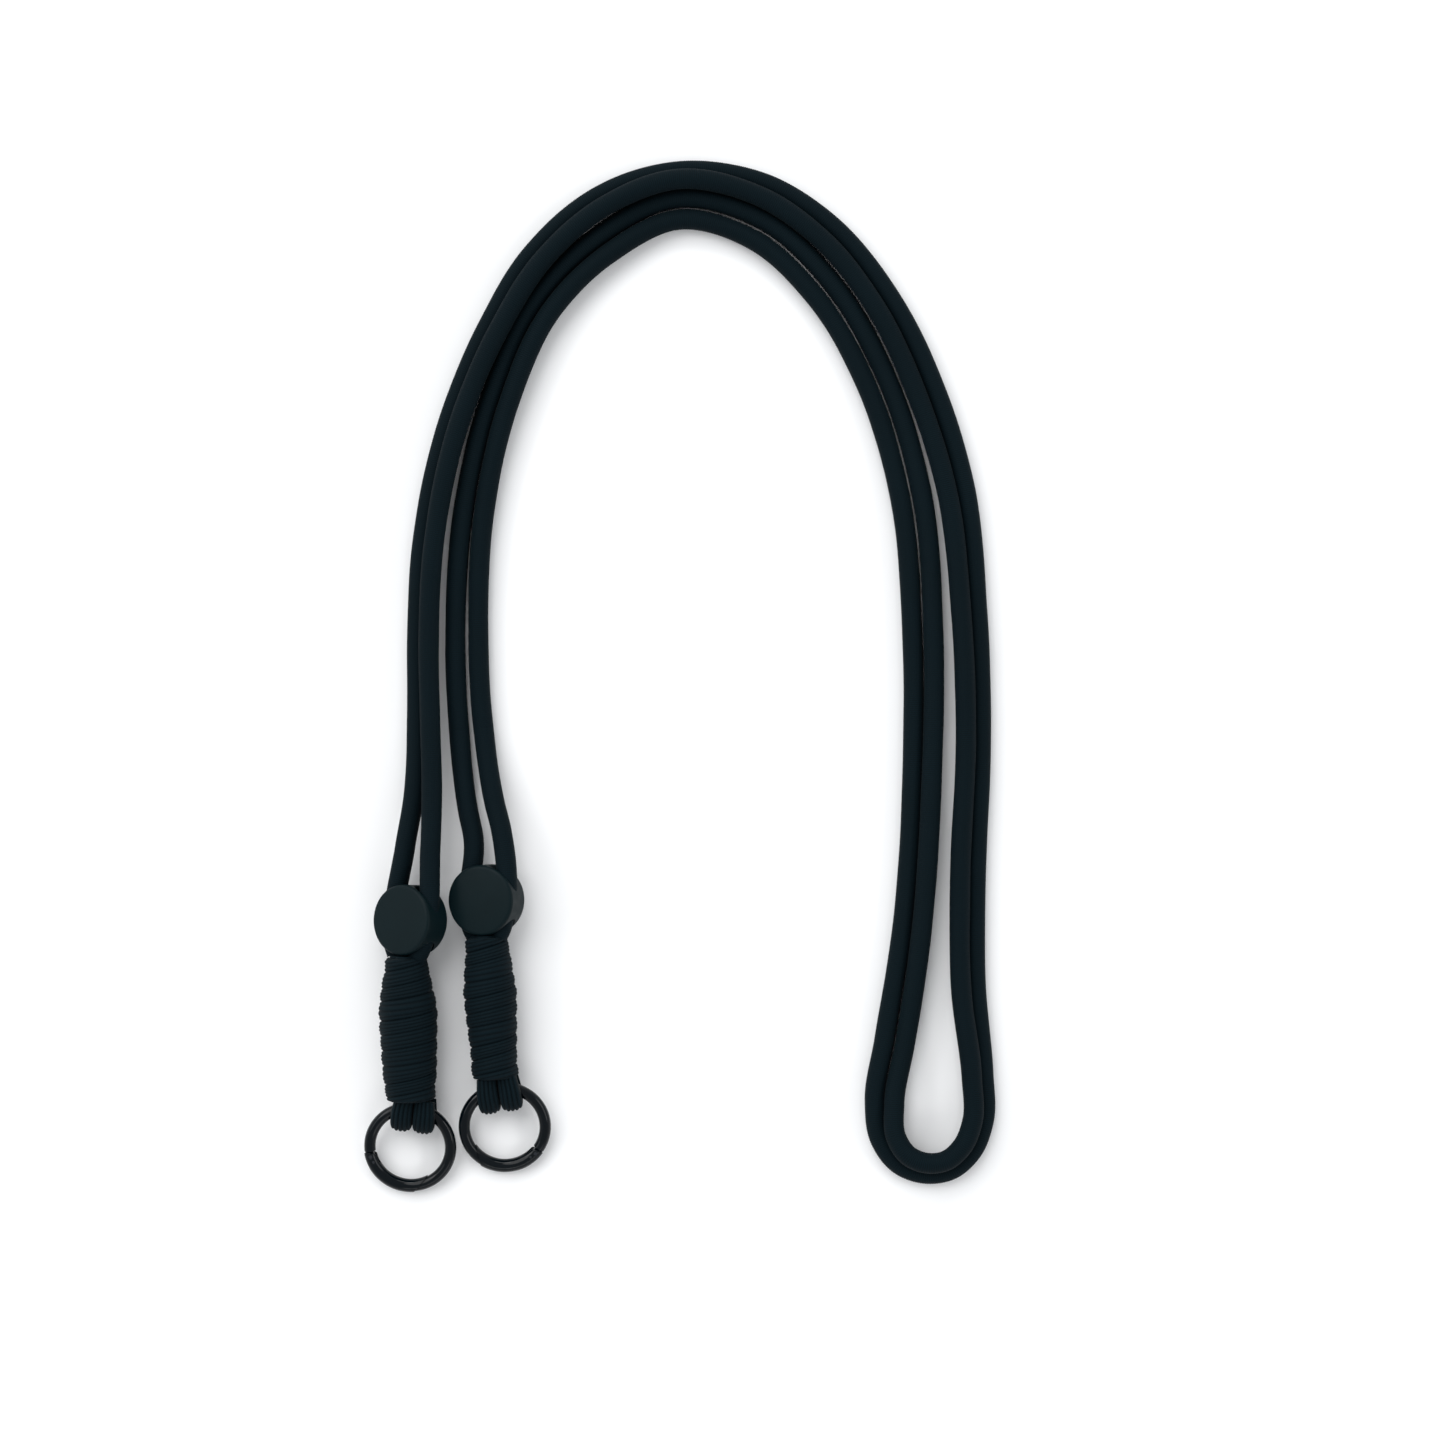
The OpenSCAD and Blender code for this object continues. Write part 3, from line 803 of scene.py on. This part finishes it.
def bight_mesh(name, end, side, settings):
    """One flattened loop: two legs and the turn round the ring. Its inside is flat
    and its outside crowned, with ribs along it that spread towards the ring."""
    leg = np.arange(0, end["leg"], BIGHT_ROW)
    turn = np.linspace(math.pi / 2, 3 * math.pi / 2, BIGHT_TURN_ROWS)
    path = [(end["leg"] - s, 0.0, 1.0) for s in leg]
    path += [(0.0, math.cos(a), math.sin(a)) for a in turn]
    path += [(s + BIGHT_ROW, 0.0, -1.0) for s in leg]
    half = BIGHT_WIDTH / 2
    across = np.concatenate([np.linspace(-1, 1, BIGHT_OUTSIDE_COLUMNS),
                             np.linspace(1, -1, BIGHT_INSIDE_COLUMNS)[1:-1]])
    outside = np.arange(len(across)) < BIGHT_OUTSIDE_COLUMNS
    crown = (1 - np.abs(across) ** BIGHT_CROWN) ** (1 / BIGHT_CROWN)
    ribs = BIGHT_RIBS * (across + 1) / 2
    rounded = np.abs(np.sin(math.pi * ribs)) ** BIGHT_RIB_SHARPNESS
    groove = BIGHT_RIB_DEPTH * settings.rib_relief * (1 - rounded)
    crowned = BIGHT_THICKNESS * np.maximum(crown, BIGHT_EDGE) - groove * crown
    depth = np.where(outside, crowned, 0.0)
    points, uv, run = [], [], 0.0
    for i, (y, ny, nz) in enumerate(path):
        if i:
            step = abs(y - path[i - 1][0])
            run += step if step else BIGHT_LAY_RADIUS * math.pi / len(turn)
        spread = 1 - BIGHT_NARROWING * min(abs(y) / end["leg"], 1) if y else 1.0
        for x, rise, rib in zip(across, depth, ribs):
            reach = EYE_RADIUS + rise
            sideways = (side * (spread - 1) + x * spread) * half
            points.append((sideways, y + ny * reach, nz * reach))
            uv.append((rib, run))
    piece = new_piece(name, points, capped_faces(len(path), len(across)), uv)
    face_out(piece)
    shift = Matrix.Translation((side * (half + BIGHT_GAP), 0, 0))
    place(piece, eye_matrix(end) @ shift)
    return piece


class STRAP_OT_whippings(bpy.types.Operator):
    """Wind the ribbed cord round the bound ends of both sides"""

    bl_idname = "strap.whippings"
    bl_label = "Whippings"

    def execute(self, context):
        settings = context.scene.strap_whipping
        cord = context.scene.strap_cord
        wound = ribbed_material("whipping cord", settings.colour, settings.lit_crown_colour)
        bound = knit_material("bound cord", cord.colour, cord.lit_crown_colour,
                              cord.course, cord.sides)
        for seed, (name, end) in enumerate(ENDS.items()):
            piece = whipping_mesh(name + "_wound_cord", end, settings, seed)
            dress(piece, wound)
            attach(piece, "strap")
            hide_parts(name + "_whipping")
            piece = bundle_mesh(name + "_cord_ends", end)
            dress(piece, bound)
            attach(piece, "strap")
            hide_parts(name + "_bound_ends")
        return {"FINISHED"}


class STRAP_OT_bights(bpy.types.Operator):
    """Turn the flattened cord over each ring, two bights side by side"""

    bl_idname = "strap.bights"
    bl_label = "Bights"

    def execute(self, context):
        settings = context.scene.strap_whipping
        material = ribbed_material("bight cord", settings.colour, settings.lit_crown_colour)
        for end in ENDS.values():
            for node, side in end["bights"].items():
                piece = bight_mesh(node + "_ribbed", end, side, settings)
                dress(piece, material)
                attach(piece, "strap")
                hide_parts(node)
        return {"FINISHED"}


# ------------------------------------------------------------------ the drum stoppers

# Each drum: its body, its centre, its lean in plan and its roll about the cords
DRUMS = {
    "left_toggle": ((-0.0123, 0.0296, 0.0093), 6, 33),
    "right_toggle": ((0.0081, 0.0350, 0.0080), 0, 21),
}

# The remade skins: the size of a cell, and the passes that smooth it
DRUM_VOXEL = 0.16 * MM
DRUM_SMOOTHING = 8
SMOOTHING_FACTOR = 0.5
DRUM_FACE_ROWS = 20
DRUM_EDGE_ANGLES = range(80, -1, -8)  # degrees
DRUM_SEGMENTS = 192
BORE_SEGMENTS = 96
BORE_OVERRUN = 2 * MM


def even_out(piece, voxel, smoothing):
    """Remakes a cut solid as one even skin, whose edges come out softly rounded."""
    step = piece.modifiers.new("skin", "REMESH")
    step.mode = "VOXEL"
    step.voxel_size = voxel
    step.use_smooth_shade = True
    step = piece.modifiers.new("soften", "SMOOTH")
    step.factor = SMOOTHING_FACTOR
    step.iterations = smoothing
    apply_modifiers(piece)
    piece.data.polygons.foreach_set("use_smooth", [True] * len(piece.data.polygons))


def drum_mesh(name, settings):
    """A drum with crowned faces and two cord holes through its wall."""
    radius, half = settings.diameter / 2, settings.thickness / 2
    flat = radius - settings.edge
    face = [(flat * t, half - settings.crown * t ** 2)
            for t in np.linspace(0, 1, DRUM_FACE_ROWS)]
    edge = [(flat + settings.edge * math.cos(a),
             half - settings.crown - settings.edge + settings.edge * math.sin(a))
            for a in np.radians(DRUM_EDGE_ANGLES)]
    upper = face + edge
    profile = upper + [(r, -z) for r, z in reversed(upper)]
    piece = lathe(name, profile, DRUM_SEGMENTS)
    reach = radius + BORE_OVERRUN
    bars = [bar_between("bore", (x, -reach, 0), (x, reach, 0), settings.hole / 2,
                        BORE_SEGMENTS)
            for x in (-settings.hole_gap / 2, settings.hole_gap / 2)]
    cut(piece, bars)
    even_out(piece, DRUM_VOXEL, DRUM_SMOOTHING)
    return piece


class STRAP_OT_drums(bpy.types.Operator):
    """Thread a drum stopper on to the cords at each end"""

    bl_idname = "strap.drums"
    bl_label = "Drum stoppers"

    def execute(self, context):
        settings = context.scene.strap_drum
        material = moulded_material("drum plastic", settings.colour)
        for node, (centre, lean, roll) in DRUMS.items():
            piece = drum_mesh(node + "_drum", settings)
            place(piece, Matrix.Translation(centre)
                  @ Matrix.Rotation(math.radians(-lean), 4, "Z")
                  @ Matrix.Rotation(math.radians(-roll), 4, "Y"))
            dress(piece, material)
            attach(piece, node)
            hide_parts(node)
        return {"FINISHED"}


# ------------------------------------------------------------------ the rings

RING_VOXEL = 0.1 * MM
RING_SMOOTHING = 5
PIN_COLOUR = (0.055, 0.06, 0.07)
PIN_ROUGHNESS = (0.28, 0.45)
SPRING_COLOUR = (0.52, 0.53, 0.55)
SPRING_ROUGHNESS = (0.22, 0.4)


def soft_copy(node, name, voxel, smoothing):
    """A copy of a hard CAD solid with its edges broken and its skin evened."""
    piece = bpy.data.objects.new(name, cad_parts[node].data.copy())
    bpy.context.scene.collection.objects.link(piece)
    piece.data.materials.clear()
    even_out(piece, voxel, smoothing)
    return piece


class STRAP_OT_rings(bpy.types.Operator):
    """Make the two spring-gate rings and their gates, and give the pins and springs their
    metal
    """

    bl_idname = "strap.rings"
    bl_label = "Spring-gate rings"

    def execute(self, context):
        settings = context.scene.strap_ring
        enamel = enamel_material("black enamel", settings.colour)
        pins = metal_material("blackened pin", PIN_COLOUR, *PIN_ROUGHNESS)
        steel = metal_material("spring steel", SPRING_COLOUR, *SPRING_ROUGHNESS)
        for side in ("left", "right"):
            for part, body in (("ring_body", "ring"), ("ring_gate", "gate")):
                node = side + "_" + part
                piece = soft_copy(node, node + "_enamelled", RING_VOXEL, RING_SMOOTHING)
                dress(piece, enamel)
                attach(piece, side + "_" + body)
                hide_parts(node)
            for part in ("hinge_pin", "stop_pin"):
                dress_node(side + "_" + part, pins)
            dress_node(side + "_gate_spring", steel)
        return {"FINISHED"}


# ------------------------------------------------------------------ the stage

# The point on the surface that the camera is straight above
AIM = (0.07165, 0.08275)
SENSOR = 36.0  # millimetres, as Blender takes it
FLOOR_SIZE = 3.0

# Softboxes around the strap, low enough that a level face mirrors none of them to
# the camera: distance to the side and up the picture, and power in watts
SOFTBOXES = {
    "left": (-0.95, 0.15, 1.5), "right": (0.95, -0.05, 2.6),
    "above": (0.0, 1.0, 2.0), "below": (0.1, -0.95, 1.3),
}
SOFTBOX_HEIGHT = 0.72
SOFTBOX_SIZE = (0.8, 0.16)

# The broad light over the whole floor: the direction it comes from, and its angle
SUN_FROM = (-0.45, 0.6, 0.75)
SUN_SPREAD = 55

# The room around: its tint, and the heights of the direction looked in between
# which it goes from its brightness at eye level to that overhead
ROOM_TINT = (0.965, 0.98, 1.0, 1)
ROOM_BRIGHT_BELOW = 0.05
ROOM_DIM_ABOVE = 0.75


def area_light(name, location, target, size, power):
    """A softbox that faces a target."""
    data = bpy.data.lights.new(name, "AREA")
    data.shape = "RECTANGLE"
    data.size, data.size_y = size
    data.energy = power
    light = bpy.data.objects.new(name, data)
    light.location = location
    facing = Vector(target) - Vector(location)
    light.rotation_euler = facing.to_track_quat("-Z", "Y").to_euler()
    bpy.context.scene.collection.objects.link(light)


def surroundings(horizon, zenith):
    """A pale room, bright at eye level and dimmer overhead."""
    world = bpy.data.worlds.new("studio")
    world.use_nodes = True
    tree = world.node_tree
    background = tree.nodes["Background"]
    background.inputs["Color"].default_value = ROOM_TINT
    direction = tree.nodes.new("ShaderNodeTexCoord").outputs["Generated"]
    split = tree.nodes.new("ShaderNodeSeparateXYZ")
    tree.links.new(direction, split.inputs[0])
    ramp = tree.nodes.new("ShaderNodeMapRange")
    ramp.interpolation_type = "SMOOTHSTEP"
    ramp.inputs["From Min"].default_value = ROOM_BRIGHT_BELOW
    ramp.inputs["From Max"].default_value = ROOM_DIM_ABOVE
    ramp.inputs["To Min"].default_value = horizon
    ramp.inputs["To Max"].default_value = zenith
    tree.links.new(split.outputs["Z"], ramp.inputs["Value"])
    tree.links.new(ramp.outputs["Result"], background.inputs["Strength"])
    return world


class STRAP_OT_stage(bpy.types.Operator):
    """Set the camera over the strap, with a pale floor and soft lights"""

    bl_idname = "strap.stage"
    bl_label = "Camera, floor and lights"

    def execute(self, context):
        settings = context.scene.strap_stage
        scene = context.scene
        height = settings.camera_height
        data = bpy.data.cameras.new("camera")
        data.sensor_width = SENSOR
        subject = height - scene.strap_cord.diameter / 2
        data.lens = SENSOR * subject / settings.view_width
        data.dof.use_dof = False
        camera = bpy.data.objects.new("camera", data)
        camera.location = (*AIM, height)
        scene.collection.objects.link(camera)
        scene.camera = camera

        corner = FLOOR_SIZE / 2
        points = [(AIM[0] + x * corner, AIM[1] + y * corner, 0)
                  for x, y in ((-1, -1), (1, -1), (1, 1), (-1, 1))]
        floor = new_piece("floor", points, [(0, 1, 2, 3)])
        dress(floor, table_material("table", settings.floor_colour))

        middle = (*AIM, 0)
        for name, (x, y, power) in SOFTBOXES.items():
            place_at = (AIM[0] + x, AIM[1] + y, SOFTBOX_HEIGHT)
            area_light(name, place_at, middle, SOFTBOX_SIZE, power)
        data = bpy.data.lights.new("overall", "SUN")
        data.energy = settings.sun
        data.angle = math.radians(SUN_SPREAD)
        overall = bpy.data.objects.new("overall", data)
        overall.rotation_euler = Vector(SUN_FROM).to_track_quat("Z", "Y").to_euler()
        scene.collection.objects.link(overall)
        scene.world = surroundings(settings.horizon, settings.zenith)
        scene.view_settings.view_transform = "Standard"
        return {"FINISHED"}


# ------------------------------------------------------------------ the add-on

class STRAP_PT_panel(bpy.types.Panel):
    """Sizes, colours and building steps of the strap"""

    bl_idname = "STRAP_PT_panel"
    bl_label = "Eyeglass strap"
    bl_space_type = "VIEW_3D"
    bl_region_type = "UI"
    bl_category = "Strap"

    def draw(self, context):
        for made in OPERATORS:
            self.layout.operator(made.bl_idname)
        for key in SETTINGS:
            box = self.layout.box()
            group = getattr(context.scene, key)
            for name in group.__annotations__:
                box.prop(group, name)


SETTINGS = {
    "strap_cord": StrapCordSettings,
    "strap_drum": StrapDrumSettings,
    "strap_whipping": StrapWhippingSettings,
    "strap_ring": StrapRingSettings,
    "strap_stage": StrapStageSettings,
}
OPERATORS = (STRAP_OT_stage, STRAP_OT_cords, STRAP_OT_whippings, STRAP_OT_bights,
             STRAP_OT_drums, STRAP_OT_rings)


def register():
    for made in (*SETTINGS.values(), *OPERATORS, STRAP_PT_panel):
        bpy.utils.register_class(made)
    for key, group in SETTINGS.items():
        setattr(bpy.types.Scene, key, PointerProperty(type=group))


def unregister():
    for key in SETTINGS:
        delattr(bpy.types.Scene, key)
    for made in reversed((*SETTINGS.values(), *OPERATORS, STRAP_PT_panel)):
        bpy.utils.unregister_class(made)


def main():
    register()
    for made in OPERATORS:
        group, action = made.bl_idname.split(".")
        getattr(getattr(bpy.ops, group), action)()


if __name__ == "__main__":
    main()
